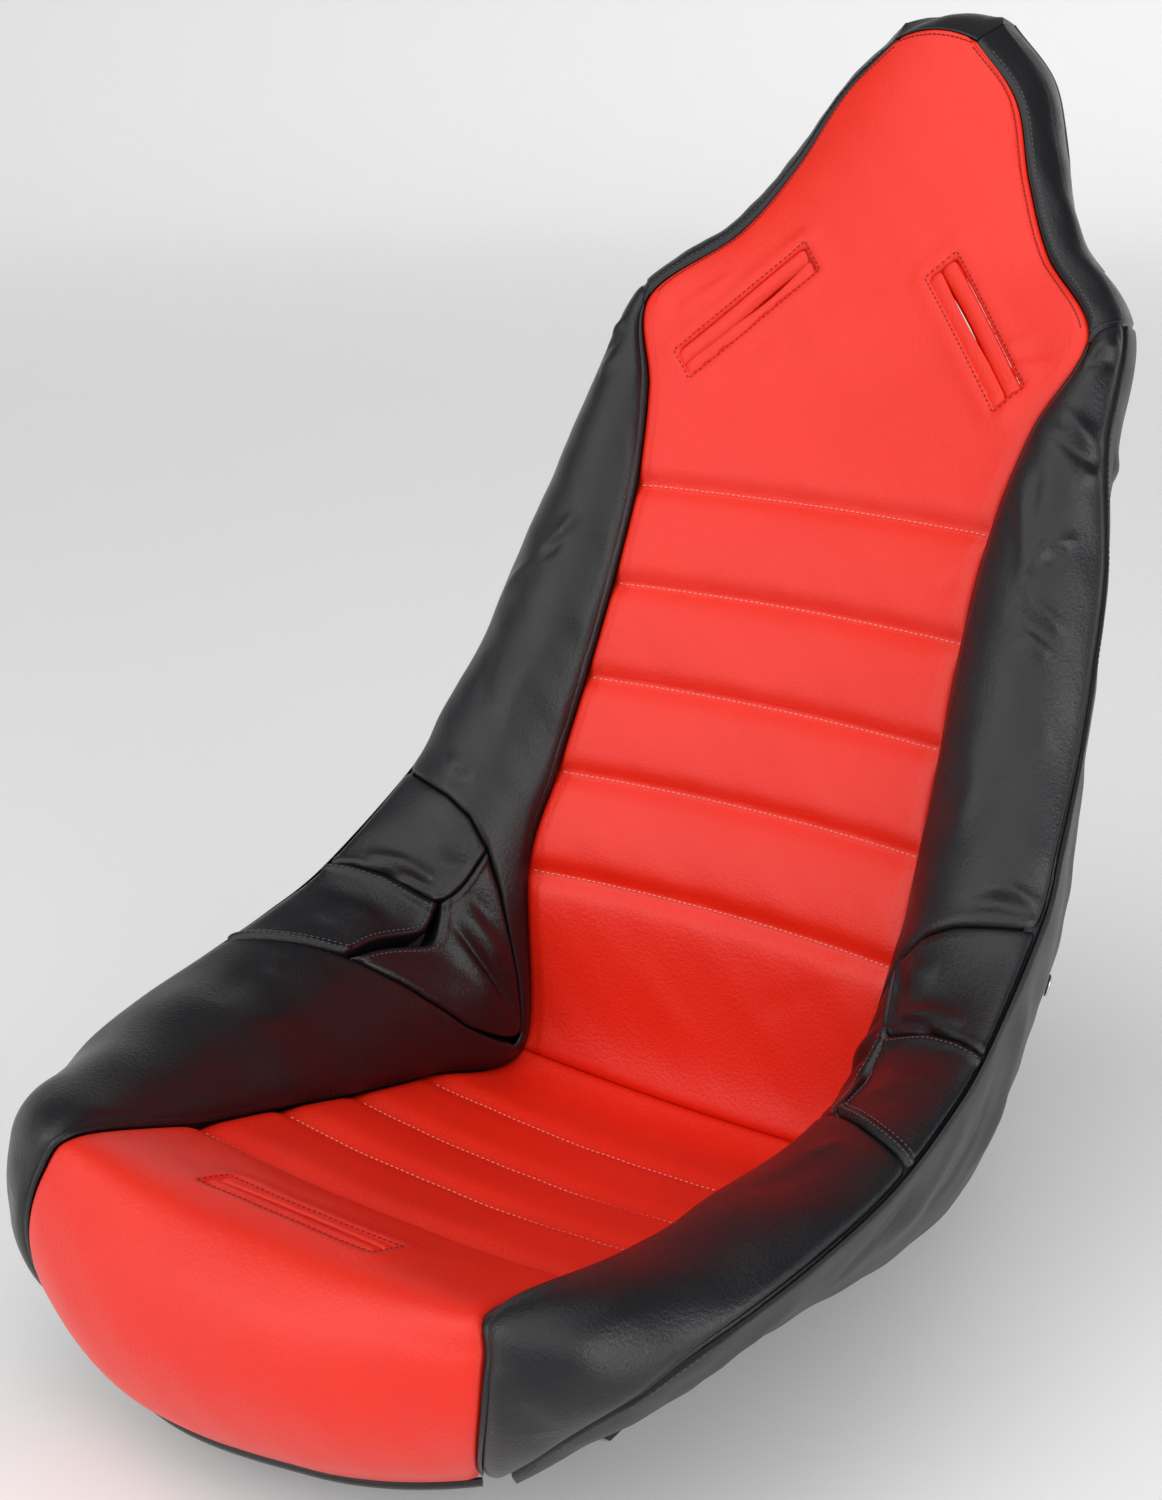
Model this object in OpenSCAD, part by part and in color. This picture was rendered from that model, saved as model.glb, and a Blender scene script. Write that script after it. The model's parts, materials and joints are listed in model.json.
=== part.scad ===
// High-back bucket seat: moulded one-piece shell, foam pads and a snap-on sewn vinyl cover.
// x = 0 is the symmetry plane, the sitter faces -Y, z = 0 is the underside of the mounting rails.

/* [Mounting] */
// half the left-right spacing of the mounting threads
mount_x = 95; // [80:1:120]
// half the front-back spacing of the mounting threads
mount_y = 100; // [80:1:120]
// clear radius of a mounting thread, for an M8 screw
mount_r = 4.1; // [3:0.1:6]
// outer radius of a pressed-in thread insert
insert_r = 6.5; // [5.5:0.1:9]
// length of a thread insert
insert_len = 20; // [12:1:25]
// width of a mounting rail
rail_w = 36; // [30:1:50]
// half the length of a mounting rail
rail_l = 125; // [110:1:140]

/* [Shell and padding] */
// wall of the moulded shell
shell_t = 4; // [3:0.5:6]
// thickness of the sewn cover with its scrim
cover_t = 2; // [1:0.5:3]
// foam under the middle of the seat and back
foam_mid = 22; // [15:1:30]
// foam under the crown of a bolster
foam_crown = 31; // [20:1:36]
// padding over the outer flange
foam_rim = 3; // [1:0.5:6]
// clearance between foam and shell
gap = 0.4; // [0.2:0.1:1]

/* [Harness slots] */
// length of a shoulder slot's sewn frame, seen from the front
sh_len = 100; // [80:1:110]
// width of a slot's sewn frame
frame_w = 20; // [16:1:26]
// width of the clear opening between the sewn lips
open_w = 11; // [8:1:14]
// length of the crotch strap slot's sewn frame
sub_len = 116; // [90:1:120]
// length of the lap belt slot
lap_len = 66; // [50:1:80]

/* [Hardware] */
// radius of a snap cap
cap_r = 7.5; // [5:0.5:9]
// radius of a snap's post
post_r = 2.5; // [2:0.1:3]
// radius of a rail bolt
bolt_r = 4; // [3:0.5:5]
// height of the moulded flats the front and rear nuts sit on
pad_f = 77.5; // [76:0.5:80]
pad_r = 54.5; // [53:0.5:57]

/* [Hidden] */

red = [0.85, 0.09, 0.05];
black = [0.05, 0.05, 0.055];
foam_col = [0.80, 0.77, 0.66];
steel = [0.72, 0.73, 0.75];

// stations run from the front hem over the lip, the cushion, the crease and the back to the crown
// middle line of the front surface: y, z
mid = [
  [0, -280, 44], [0, -306, 76], [0, -316, 118], [0, -301, 160], [0, -262, 174],
  [0, -172, 135], [0, -101, 111], [0, -34, 90], [0, 38, 72], [0, 132, 60],
  [0, 163, 190], [0, 193, 255], [0, 222, 317], [0, 250, 379], [0, 279, 443],
  [0, 310, 505], [0, 340, 565], [0, 364, 614], [0, 390, 668], [0, 413, 713], [0, 426, 741]];
// seam between the middle panels and the bolsters
inner = [
  [124, -250, 62], [140, -275, 96], [150, -286, 133], [149, -281, 163], [140, -262, 178],
  [140, -172, 142], [140, -101, 120], [140, -34, 99], [139, 38, 80], [128, 128, 66],
  [140, 150, 190], [137, 181, 255], [133, 210, 317], [130, 238, 379], [131, 268, 443],
  [142, 297, 506], [163, 327, 563], [116, 368, 605], [88, 396, 648], [65, 420, 697], [30, 428, 734]];
// seam along the rim, between the bolsters and the skirt
outer = [
  [132, -248, 64], [165, -256, 101], [192, -250, 128], [209, -240, 142], [220, -218, 152],
  [236, -175, 165], [245, -120, 172], [249, -60, 178], [248, 0, 188], [245, 56, 204],
  [238, 145, 252], [234, 172, 284], [226, 212, 328], [219, 242, 378], [209, 274, 432],
  [192, 301, 500], [178, 350, 568], [128, 392, 612], [98, 422, 658], [72, 447, 706], [36, 455, 744]];
// lower and rear edge of the skirt
hem = [
  [134, -243, 58], [150, -236, 72], [165, -220, 84], [176, -200, 88], [184, -170, 90],
  [190, -120, 92], [196, -60, 84], [200, -10, 74], [202, 50, 64], [202, 140, 66],
  [200, 225, 140], [199, 250, 190], [194, 275, 288], [189, 300, 345], [182, 325, 404],
  [178, 352, 480], [172, 385, 558], [116, 420, 610], [90, 452, 660], [66, 478, 706], [32, 484, 742]];
// how far the bolsters and the skirt swell out at each station
puff = [0, 4, 8, 14, 20, 27, 32, 34, 38, 40, 33, 27, 26, 25, 24, 16, 5, 4, 3, 2, 0];
flare = [0, 2, 3, 4, 5, 6, 7, 8, 8, 8, 7, 6, 5, 4, 3, 3, 2, 2, 2, 2, 0];
last = 20;

function blend(a, b, c, d, t) =
  0.5 * (2 * b + (c - a) * t + (2 * a - 5 * b + 4 * c - d) * t * t + (3 * b - a - 3 * c + d) * t * t * t);
function pick(p, i) = i < 0 ? 2 * p[0] - p[1] : i > last ? 2 * p[last] - p[last - 1] : p[i];
function along(p, s) =
  let (q = min(max(s, 0), last), i = min(floor(q), last - 1))
  blend(pick(p, i - 1), pick(p, i), pick(p, i + 1), pick(p, i + 2), q - i);
function unit(v) = v / norm(v);
function swell(u) = pow(max(4 * u * (1 - u), 0), 0.8);
function lean(p, q, s) =
  unit(cross(along(q, s) - along(p, s),
    along(p, s + 0.05) + along(q, s + 0.05) - along(p, s - 0.05) - along(q, s - 0.05)));
// the row behind the crown that closes the head
function crown(t) = [t * 10.6, 485.5, 750 - 7.5 * t * t / 9];
// rounded top of the head, between the crown's front and back rows
function dome(v, t) = [0, 0, 4 * sin(180 * v) * (1 - t * t / 9)];
function front(s, a) =
  let (c = along(mid, s), i = along(inner, s)) [i[0] * a, c[1] + (i[1] - c[1]) * a * a, c[2] + (i[2] - c[2]) * a * a];
function side(p, q, w, s, u) =
  along(p, s) + (along(q, s) - along(p, s)) * u + lean(p, q, s) * along(w, s) * swell(u);
function half(s, a) =
  s > last ? half(last, a) * (last + 1 - s) + crown(a) * (s - last) + dome(s - last, a) :
  a <= 1 ? front(s, a) : a <= 2 ? side(inner, outer, puff, s, a - 1) : side(outer, hem, flare, s, min(a, 3) - 2);
// skin point at station s, with t across: 0 middle, 1 inner seam, 2 rim, 3 hem, negative on the left
function skin(s, t) = let (p = half(s, abs(t))) [t < 0 ? -p[0] : p[0], p[1], p[2]];
function facing(s, a) =
  s > last ? unit([a / 12, 0.1, 1]) :
  unit(cross(skin(s, min(a + 0.05, 3)) - skin(s, a - 0.05), skin(min(s + 0.05, last), a) - skin(max(s - 0.05, 0), a)));
function deep(s, t, d) =
  let (n = facing(s, abs(t))) skin(s, t) - d * [t < 0 ? -n[0] : n[0], n[1], n[2]];
function ramp(x, x0, x1, y0, y1) = y0 + (y1 - y0) * min(max((x - x0) / (x1 - x0), 0), 1);
// foam thickness: full in the middle, deepest under the bolster crown, thin over the flange
function foam(s, t) =
  let (a = abs(t), crest = ramp(s, 14.5, 16.5, foam_crown, 12), f =
    a <= 1 ? foam_mid : a <= 1.5 ? ramp(a, 1, 1.5, foam_mid, crest) : ramp(a, 1.5, 2, crest, foam_rim))
  s > last ? foam_rim : s < 3 ? max(f * ramp(s, 0, 3, 0.4, 1), foam_rim) : f;
// depth below the skin of each layer: 0 skin, 1 cover underside, 2 foam top, 3 foam underside,
// 4 shell face, 5 shell underside
function layer(k, s, t) =
  k == 0 ? 0 : k == 1 ? cover_t : k == 2 ? cover_t + 0.1 : k == 3 ? cover_t + foam(s, t) :
  k == 4 ? cover_t + foam(s, t) + gap : k == 5 ? cover_t + foam(s, t) + gap + shell_t : -1.2;

function edge_at(e, t, i = 0) =
  i >= len(e) - 2 || t <= e[i + 1][1] ? ramp(t, e[i][1], e[i + 1][1], e[i][0], e[i + 1][0]) : edge_at(e, t, i + 1);
// grid of [station, across] pairs between a lower and an upper edge
function strip(lo, hi, t0, t1, n, m) =
  [for (i = [0:n]) [for (j = [0:m]) let (t = t0 + (t1 - t0) * j / m, a = edge_at(lo, abs(t)), b = edge_at(hi, abs(t)))
    [a + (b - a) * i / n, t]]];
// grid inside four corners: a-b along the lower edge, d-c along the upper edge
function quad(a, b, c, d, n, m) =
  [for (i = [0:n]) [for (j = [0:m]) let (u = j / m, v = i / n) (a * (1 - u) + b * u) * (1 - v) + (d * (1 - u) + c * u) * v]];

// closed slab between two layers over a grid
module slab(g, top, low) {
  n = len(g) - 1;
  m = len(g[0]) - 1;
  w = m + 1;
  h = (n + 1) * w;
  upper = [for (r = g) for (c = r) deep(c[0], c[1], layer(top, c[0], c[1]))];
  under = [for (r = g) for (c = r) deep(c[0], c[1], layer(low, c[0], c[1]))];
  over = [for (i = [0:n - 1]) for (j = [0:m - 1]) let (a = i * w + j) each [[a, a + w + 1, a + 1], [a, a + w, a + w + 1]]];
  below = [for (i = [0:n - 1]) for (j = [0:m - 1]) let (a = h + i * w + j) each [[a, a + 1, a + w + 1], [a, a + w + 1, a + w]]];
  first = [for (j = [0:m - 1]) each [[j, j + 1, h + j + 1], [j, h + j + 1, h + j]]];
  final = [for (j = [0:m - 1]) let (a = n * w + j) each [[a, h + a + 1, a + 1], [a, h + a, h + a + 1]]];
  west = [for (i = [0:n - 1]) let (a = i * w) each [[a, h + a + w, a + w], [a, h + a, h + a + w]]];
  east = [for (i = [0:n - 1]) let (a = i * w + m) each [[a, a + w, h + a + w], [a, h + a + w, h + a]]];
  polyhedron(points = concat(upper, under), faces = concat(over, below, first, final, west, east), convexity = 10);
}

module pill(l, w) {
  square([l - w, w], center = true);
  translate([l / 2 - w / 2, 0]) circle(d = w, $fn = 24);
  translate([w / 2 - l / 2, 0]) circle(d = w, $fn = 24);
}
// straight cutters for the harness slots
module shoulder_cut(grow, w) {
  translate([85, 420, 558]) rotate([90, 0, 0]) linear_extrude(height = 160) rotate(-45) pill(sh_len + grow, w);
}
module shoulder_cuts(grow, w) {
  shoulder_cut(grow, w);
  mirror([1, 0, 0]) shoulder_cut(grow, w);
}
module crotch_cut(grow, w) {
  translate([0, -242, 112]) linear_extrude(height = 90) pill(sub_len + grow, w);
}
module lap_cut(w) {
  translate([181, 50.5, 96]) linear_extrude(height = 140) rotate(95.4) pill(lap_len, w);
}
module lap_cuts(w) {
  lap_cut(w);
  mirror([1, 0, 0]) lap_cut(w);
}

g = 0.006;
thigh_top = [[9, 1], [7.9, 1.6], [7.23, 2]];
side_low = [[9, 1], [9.87, 1.27], [9.9, 2]];

module seat_shell() {
  color(black) difference() {
    union() {
      slab(strip([[0.5, 0], [0.5, 3]], [[21, 0], [21, 3]], -2.94, 2.94, 41, 18), 4, 5);
      for (x = [-mount_x, mount_x]) {
        translate([x, -45, pad_f - 10]) cylinder(r = 14, h = 10, $fn = 32);
        translate([x, 45, pad_r - 10]) cylinder(r = 14, h = 10, $fn = 32);
      }
    }
    shoulder_cuts(0, frame_w);
    crotch_cut(0, frame_w);
    lap_cuts(16);
    for (x = [-mount_x, mount_x], y = [-45, 45]) {
      translate([x, y, 20]) cylinder(r = bolt_r + 0.3, h = 90, $fn = 32);
    }
  }
}
function pad_z(y) = y < 0 ? pad_f : pad_r;

// rail with a sloping top that carries the underside of the pan
module rail() {
  difference() {
    translate([mount_x - rail_w / 2, 0, 0]) rotate([90, 0, 90]) linear_extrude(height = rail_w)
      polygon([[-rail_l, 4], [4 - rail_l, 0], [rail_l - 4, 0], [rail_l, 4], [rail_l, 26], [108, 26],
        [80, 30], [38, 43.5], [0, 52.5], [-34, 61.5], [-60, 69], [-101, 82], [-rail_l, 89.5]]);
    for (y = [-mount_y, mount_y]) {
      translate([mount_x, y, -1]) cylinder(r = insert_r, h = insert_len + 1, $fn = 48);
    }
    for (y = [-45, 45]) {
      translate([mount_x, y, -1]) cylinder(r = bolt_r + 0.3, h = 120, $fn = 32);
      translate([mount_x, y, -1]) cylinder(r = 9, h = 13, $fn = 32);
    }
  }
}
module mount_rail_right() {
  color(black) rail();
}
module mount_rail_left() {
  color(black) mirror([1, 0, 0]) rail();
}
module thread_inserts() {
  color(steel) for (x = [-mount_x, mount_x], y = [-mount_y, mount_y]) {
    translate([x, y, 0]) difference() {
      cylinder(r = insert_r, h = insert_len, $fn = 48);
      translate([0, 0, -1]) cylinder(r = mount_r, h = insert_len + 2, $fn = 48);
    }
  }
}
module rail_bolts() {
  color(steel) for (x = [-mount_x, mount_x], y = [-45, 45]) {
    translate([x, y, 6]) cylinder(r = 7, h = 6, $fn = 6);
    translate([x, y, 12]) cylinder(r = bolt_r, h = pad_z(y) - 2, $fn = 32);
  }
}
module rail_nuts() {
  color(steel) for (x = [-mount_x, mount_x], y = [-45, 45]) {
    translate([x, y, pad_z(y)]) difference() {
      union() {
        cylinder(r = 12, h = 2, $fn = 32);
        translate([0, 0, 2]) cylinder(r = 7.5, h = 6.5, $fn = 6);
      }
      translate([0, 0, -1]) cylinder(r = bolt_r, h = 12, $fn = 32);
    }
  }
}

module base_foam() {
  color(foam_col) difference() {
    slab(strip([[0.5, 0], [0.5, 1]], [[8.98, 0], [8.98, 1]], g - 1, 1 - g, 17, 6), 2, 3);
    crotch_cut(0, frame_w);
    for (x = [-mount_x, mount_x]) {
      translate([x, -45, pad_f - 22]) cylinder(r = 16, h = 34, $fn = 32);
      translate([x, 45, pad_r - 22]) cylinder(r = 16, h = 34, $fn = 32);
    }
  }
}
module back_foam() {
  color(foam_col) difference() {
    slab(strip([[9.02, 0], [9.02, 1]], [[20, 0], [20, 1]], g - 1, 1 - g, 22, 6), 2, 3);
    shoulder_cuts(0, frame_w);
  }
}
module side_foam() {
  slab(strip(side_low, [[20, 1], [20, 2]], 1 + g, 2, 21, 4), 2, 3);
}
module side_foam_right() {
  color(foam_col) side_foam();
}
module side_foam_left() {
  color(foam_col) mirror([1, 0, 0]) side_foam();
}
module hip_foam() {
  difference() {
    slab(strip(thigh_top, side_low, 1.02, 2, 6, 5), 2, 3);
    lap_cut(16);
  }
}
module hip_foam_right() {
  color(foam_col) hip_foam();
}
module hip_foam_left() {
  color(foam_col) mirror([1, 0, 0]) hip_foam();
}
module thigh_foam() {
  difference() {
    slab(strip([[1, 1], [1, 2]], thigh_top, 1 + g, 2, 16, 4), 2, 3);
    lap_cut(16);
  }
}
module thigh_foam_right() {
  color(foam_col) thigh_foam();
}
module thigh_foam_left() {
  color(foam_col) mirror([1, 0, 0]) thigh_foam();
}

module back_panel() {
  color(red) difference() {
    slab(strip([[9, 0], [9, 1]], [[20, 0], [20, 1]], g - 1, 1 - g, 22, 6), 0, 1);
    shoulder_cuts(0, frame_w);
  }
}
module seat_panel() {
  color(red) difference() {
    slab(strip([[0.15, 0], [0.15, 1]], [[8.99, 0], [8.99, 1]], g - 1, 1 - g, 18, 6), 0, 1);
    crotch_cut(0, frame_w);
  }
}
module side_bolster() {
  slab(strip(side_low, [[16, 1], [16, 2]], 1 + g, 2 - g, 14, 4), 0, 1);
}
module side_bolster_right() {
  color(black) side_bolster();
}
module side_bolster_left() {
  color(black) mirror([1, 0, 0]) side_bolster();
}
module gusset_upper() {
  slab(quad([9.3, 1.585], [9, 1.99], [9.88, 1.99], [9.83, 1.28], 3, 3), 0, 1);
}
module gusset_upper_right() {
  color(black) gusset_upper();
}
module gusset_upper_left() {
  color(black) mirror([1, 0, 0]) gusset_upper();
}
module gusset_middle() {
  difference() {
    slab(quad([7.92, 1.61], [7.26, 1.99], [8.98, 1.99], [9.28, 1.59], 5, 3), 0, 1);
    lap_cut(14);
  }
}
module gusset_middle_right() {
  color(black) gusset_middle();
}
module gusset_middle_left() {
  color(black) mirror([1, 0, 0]) gusset_middle();
}
module gusset_lower() {
  difference() {
    slab(quad([9, 1.02], [7.94, 1.59], [9.28, 1.57], [9.8, 1.27], 4, 4), 0, 1);
    lap_cut(14);
  }
}
module gusset_lower_right() {
  color(black) gusset_lower();
}
module gusset_lower_left() {
  color(black) mirror([1, 0, 0]) gusset_lower();
}
module thigh_bolster() {
  difference() {
    slab(strip([[0.3, 1], [0.3, 2]], thigh_top, 1 + g, 2 - g, 16, 4), 0, 1);
    lap_cut(14);
  }
}
module thigh_bolster_right() {
  color(black) thigh_bolster();
}
module thigh_bolster_left() {
  color(black) mirror([1, 0, 0]) thigh_bolster();
}
module head_band() {
  slab(strip([[16.02, 1], [16.02, 3]], [[19.98, 1], [19.98, 3]], 1 + g, 3, 8, 4), 0, 1);
}
module head_band_right() {
  color(black) head_band();
}
module head_band_left() {
  color(black) mirror([1, 0, 0]) head_band();
}
module head_crown() {
  color(black) slab(strip([[20.02, 0], [20.02, 3]], [[21, 0], [21, 3]], -3, 3, 3, 12), 0, 1);
}
// sleeve behind the head: spans from hem to hem
function behind(s, a, d) = let (h = along(hem, s)) [h[0] * a * 0.98, h[1] + 3 + 6 * (1 - a * a) + d, h[2]];
module head_pocket_back() {
  n = 7;
  m = 6;
  w = m + 1;
  h = (n + 1) * w;
  near = [for (i = [0:n]) for (j = [0:m]) behind(16.6 + 3.4 * i / n, 2 * j / m - 1, 0)];
  far = [for (i = [0:n]) for (j = [0:m]) behind(16.6 + 3.4 * i / n, 2 * j / m - 1, cover_t)];
  inside = [for (i = [0:n - 1]) for (j = [0:m - 1]) let (a = i * w + j) each [[a, a + w + 1, a + 1], [a, a + w, a + w + 1]]];
  outside = [for (i = [0:n - 1]) for (j = [0:m - 1]) let (a = h + i * w + j) each [[a, a + 1, a + w + 1], [a, a + w + 1, a + w]]];
  first = [for (j = [0:m - 1]) each [[j, j + 1, h + j + 1], [j, h + j + 1, h + j]]];
  final = [for (j = [0:m - 1]) let (a = n * w + j) each [[a, h + a + 1, a + 1], [a, h + a, h + a + 1]]];
  west = [for (i = [0:n - 1]) let (a = i * w) each [[a, h + a + w, a + w], [a, h + a, h + a + w]]];
  east = [for (i = [0:n - 1]) let (a = i * w + m) each [[a, a + w, h + a + w], [a, h + a + w, h + a]]];
  color(black) polyhedron(points = concat(near, far), faces = concat(inside, outside, first, final, west, east), convexity = 4);
}
module skirt() {
  slab(strip([[0.3, 2], [0.3, 3]], [[15.98, 2], [15.98, 3]], 2 + g, 3, 31, 3), 0, 1);
}
module skirt_right() {
  color(black) skirt();
}
module skirt_left() {
  color(black) mirror([1, 0, 0]) skirt();
}
module front_hem() {
  color(black) slab(strip([[0, 0], [0, 1]], [[0.14, 0], [0.14, 1]], -1, 1, 1, 8), 6, 1);
}

// sewn lips around a harness slot, following the panel
module shoulder_slot() {
  intersection() {
    slab(strip([[14, 0], [14, 1]], [[18, 0], [18, 1]], 0.15, 0.98, 12, 6), 6, 1);
    difference() {
      shoulder_cut(0, frame_w - 0.2);
      shoulder_cut(-10, open_w);
    }
  }
}
module shoulder_slot_right() {
  color(red) shoulder_slot();
}
module shoulder_slot_left() {
  color(red) mirror([1, 0, 0]) shoulder_slot();
}
module crotch_slot() {
  color(red) intersection() {
    slab(strip([[3.8, 0], [3.8, 1]], [[4.8, 0], [4.8, 1]], -0.5, 0.5, 4, 4), 6, 1);
    difference() {
      crotch_cut(0, frame_w - 0.2);
      crotch_cut(-8, open_w);
    }
  }
}

// stations of the snap fasteners along the skirt
snaps = [10.3];
module on_skin(s, t, d) {
  n = facing(s, t);
  translate(deep(s, t, d)) rotate([0, acos(n[2]), atan2(n[1], n[0])]) children();
}
module both_sides() {
  children();
  mirror([1, 0, 0]) children();
}
module snap_caps() {
  color(steel) both_sides() for (s = snaps) {
    on_skin(s, 2.86, 0) cylinder(r = cap_r, h = 2.5, $fn = 32);
  }
}
module snap_posts() {
  color(steel) both_sides() for (s = snaps) {
    on_skin(s, 2.86, 12) cylinder(r = post_r, h = 12, $fn = 24);
  }
}

seat_shell();
mount_rail_left();
mount_rail_right();
thread_inserts();
rail_bolts();
rail_nuts();
base_foam();
back_foam();
side_foam_left();
side_foam_right();
hip_foam_left();
hip_foam_right();
thigh_foam_left();
thigh_foam_right();
back_panel();
seat_panel();
side_bolster_left();
side_bolster_right();
gusset_upper_left();
gusset_upper_right();
gusset_middle_left();
gusset_middle_right();
gusset_lower_left();
gusset_lower_right();
thigh_bolster_left();
thigh_bolster_right();
head_band_left();
head_band_right();
head_crown();
head_pocket_back();
skirt_left();
skirt_right();
front_hem();
shoulder_slot_left();
shoulder_slot_right();
crotch_slot();
snap_caps();
snap_posts();
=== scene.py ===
import json
import math

import bmesh
import bpy
import numpy as np
from mathutils import Matrix, Vector
from mathutils.bvhtree import BVHTree

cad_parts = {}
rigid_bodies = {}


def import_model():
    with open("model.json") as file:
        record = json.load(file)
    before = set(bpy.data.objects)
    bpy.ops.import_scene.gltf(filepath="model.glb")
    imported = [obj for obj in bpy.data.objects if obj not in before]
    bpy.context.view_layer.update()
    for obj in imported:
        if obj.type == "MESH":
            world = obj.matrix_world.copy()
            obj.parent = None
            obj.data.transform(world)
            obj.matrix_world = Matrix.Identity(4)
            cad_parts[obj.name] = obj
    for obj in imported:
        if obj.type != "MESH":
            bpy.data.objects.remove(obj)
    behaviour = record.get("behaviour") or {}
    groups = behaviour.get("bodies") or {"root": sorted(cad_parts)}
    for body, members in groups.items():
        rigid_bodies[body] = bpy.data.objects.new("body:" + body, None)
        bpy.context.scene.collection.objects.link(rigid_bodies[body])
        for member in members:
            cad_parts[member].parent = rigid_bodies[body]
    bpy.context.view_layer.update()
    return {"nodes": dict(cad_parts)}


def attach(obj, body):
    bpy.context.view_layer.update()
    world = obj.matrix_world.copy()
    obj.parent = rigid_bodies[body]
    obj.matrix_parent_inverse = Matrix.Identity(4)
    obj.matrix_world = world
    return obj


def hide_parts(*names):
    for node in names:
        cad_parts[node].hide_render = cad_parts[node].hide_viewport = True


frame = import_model()
hands = ((1, "right"), (-1, "left"))  # seen from the front, so right is +X
print("frame loaded")

# the cover's skin
# Stations run from the front hem over the lip, cushion, crease and back to the crown.
# Across: 0 middle, 1 inner seam, 2 rim seam, 3 hem. Points in millimetres.
skin = {
    "middle": [(0, -280, 44), (0, -306, 76), (0, -316, 118), (0, -301, 160), (0, -262, 174), (0, -172, 135),
               (0, -101, 111), (0, -34, 90), (0, 38, 72), (0, 132, 60), (0, 163, 190), (0, 193, 255),
               (0, 222, 317), (0, 250, 379), (0, 279, 443), (0, 310, 505), (0, 340, 565), (0, 364, 614),
               (0, 390, 668), (0, 413, 713), (0, 426, 741)],
    "inner": [(124, -250, 62), (140, -275, 96), (150, -286, 133), (149, -281, 163), (140, -262, 178),
              (140, -172, 142), (140, -101, 120), (140, -34, 99), (139, 38, 80), (128, 128, 66),
              (140, 150, 190), (137, 181, 255), (133, 210, 317), (130, 238, 379), (131, 268, 443),
              (142, 297, 506), (163, 327, 563), (116, 368, 605), (88, 396, 648), (65, 420, 697),
              (30, 428, 734)],
    "rim": [(132, -248, 64), (165, -256, 101), (192, -250, 128), (209, -240, 142), (220, -218, 152),
            (236, -175, 165), (245, -120, 172), (249, -60, 178), (248, 0, 188), (245, 56, 204),
            (238, 145, 252), (234, 172, 284), (226, 212, 328), (219, 242, 378), (209, 274, 432),
            (192, 301, 500), (178, 350, 568), (128, 392, 612), (98, 422, 658), (72, 447, 706),
            (36, 455, 744)],
    "hem": [(134, -243, 58), (150, -236, 72), (165, -220, 84), (176, -200, 88), (184, -170, 90),
            (190, -120, 92), (196, -60, 84), (200, -10, 74), (202, 50, 64), (202, 140, 66),
            (200, 225, 140), (199, 250, 190), (194, 275, 288), (189, 300, 345), (182, 325, 404),
            (178, 352, 480), (172, 385, 558), (116, 420, 610), (90, 452, 660), (66, 478, 706),
            (32, 484, 742)],
    "puff": [0, 4, 8, 14, 20, 27, 32, 34, 38, 40, 33, 27, 26, 25, 24, 16, 5, 4, 3, 2, 0],
    "flare": [0, 2, 3, 4, 5, 6, 7, 8, 8, 8, 7, 6, 5, 4, 3, 3, 2, 2, 2, 2, 0],
    "crownTop": 20,
    "lid": {"halfWidth": 10.6, "y": 485.5, "z": 750, "fall": 7.5, "dome": 4.0},
}
# the loose front corner on the left, seen from the front, hangs a little lower and further out
sag = {"shift": (-13, -5, -19), "stations": (1.0, 3.8), "across": (0.3, -0.8)}


def withEnds(rows):
    # one mirrored row past each end, so the curve has a slope there
    p = np.array(rows, float)
    return np.vstack([2 * p[0] - p[1], p, 2 * p[-1] - p[-2]])


lines = {name: withEnds(skin[name]) for name in ("middle", "inner", "rim", "hem")}
lines.update({name: withEnds([[value] for value in skin[name]]) for name in ("puff", "flare")})


def along(name, station):
    # smooth curve through the rows of one line
    s = np.clip(station, 0, skin["crownTop"])
    i = np.minimum(np.floor(s).astype(int), skin["crownTop"] - 1)
    t = (s - i)[..., None]
    q = lines[name]
    a, b, c, d = q[i], q[i + 1], q[i + 2], q[i + 3]
    square, cube = 2 * a - 5 * b + 4 * c - d, 3 * b - a - 3 * c + d
    return 0.5 * (2 * b + (c - a) * t + square * t ** 2 + cube * t ** 3)


def unit(v):
    return v / np.maximum(np.linalg.norm(v, axis=-1, keepdims=True), 1e-9)


def sideOf(a, b, swell, s, u):
    # bulging strip between two lines
    p, q = along(a, s), along(b, s)
    run = along(a, s + 0.05) + along(b, s + 0.05) - along(a, s - 0.05) - along(b, s - 0.05)
    lift = along(swell, s) * np.power(np.maximum(4 * u * (1 - u), 0), 0.8)[..., None]
    return p + (q - p) * u[..., None] + unit(np.cross(q - p, run)) * lift


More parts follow.
